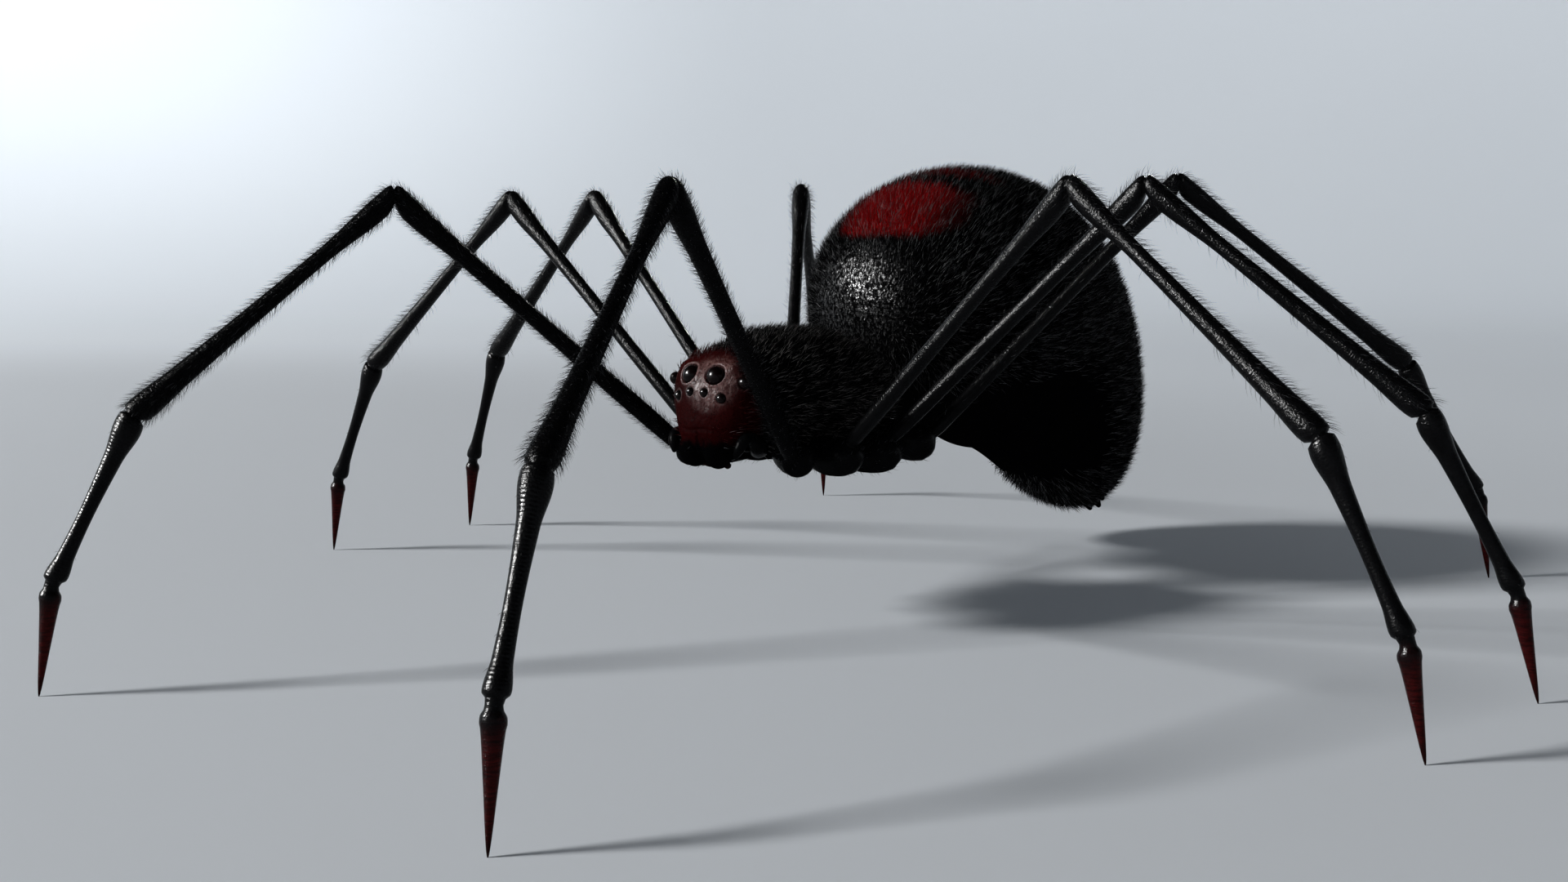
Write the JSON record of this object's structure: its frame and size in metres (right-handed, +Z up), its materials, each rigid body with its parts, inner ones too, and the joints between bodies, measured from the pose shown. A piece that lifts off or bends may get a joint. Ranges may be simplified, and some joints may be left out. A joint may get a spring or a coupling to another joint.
{
  "type": "spider",
  "caption": "Standing female black widow with a bent, drop-shaped abdomen held high behind a small domed body, on arched legs.",
  "frame": {"origin": "centre of the overall box at floor level, where the tips of the legs stand", "axes": "+Z up, -Y the way the spider faces, +X its own left side and the longest side of its box"},
  "size_m": [0.0268, 0.0256, 0.0091],
  "materials": {
    "black_coat": "black skin under short black hairs",
    "black_shell": "smooth black leathery shell, half gloss",
    "red_brown_face": "mottled red-brown shell, half gloss",
    "tarsus_red": "dark red-brown shell, half gloss",
    "eye": "black, wet-looking gloss",
    "fang": "very dark brown, half gloss",
    "spinneret": "very dark brown skin"
  },
  "bodies": {
    "root": {"head": "red_brown_face", "thorax": "black_coat", "waist": "black_shell", "abdomen": "black_coat", "spinnerets": "spinneret", "eye_main_left": "eye", "eye_main_right": "eye", "eye_side_left": "eye", "eye_side_right": "eye", "eye_inner_left": "eye", "eye_inner_right": "eye", "eye_outer_left": "eye", "eye_outer_right": "eye", "chelicera_left": "black_shell", "fang_left": "fang", "palp_left": "black_shell", "chelicera_right": "black_shell", "fang_right": "fang", "palp_right": "black_shell", "leg1_left_coxa": "black_shell", "leg1_left_femur": "black_shell", "leg1_left_tibia": "black_shell", "leg1_left_metatarsus": "black_shell", "leg1_left_tarsus": "tarsus_red", "leg1_right_coxa": "black_shell", "leg1_right_femur": "black_shell", "leg1_right_tibia": "black_shell", "leg1_right_metatarsus": "black_shell", "leg1_right_tarsus": "tarsus_red", "leg2_left_coxa": "black_shell", "leg2_left_femur": "black_shell", "leg2_left_tibia": "black_shell", "leg2_left_metatarsus": "black_shell", "leg2_left_tarsus": "tarsus_red", "leg2_right_coxa": "black_shell", "leg2_right_femur": "black_shell", "leg2_right_tibia": "black_shell", "leg2_right_metatarsus": "black_shell", "leg2_right_tarsus": "tarsus_red", "leg3_left_coxa": "black_shell", "leg3_left_femur": "black_shell", "leg3_left_tibia": "black_shell", "leg3_left_metatarsus": "black_shell", "leg3_left_tarsus": "tarsus_red", "leg3_right_coxa": "black_shell", "leg3_right_femur": "black_shell", "leg3_right_tibia": "black_shell", "leg3_right_metatarsus": "black_shell", "leg3_right_tarsus": "tarsus_red", "leg4_left_coxa": "black_shell", "leg4_left_femur": "black_shell", "leg4_left_tibia": "black_shell", "leg4_left_metatarsus": "black_shell", "leg4_left_tarsus": "tarsus_red", "leg4_right_coxa": "black_shell", "leg4_right_femur": "black_shell", "leg4_right_tibia": "black_shell", "leg4_right_metatarsus": "black_shell", "leg4_right_tarsus": "tarsus_red"}
  },
  "joints": []
}
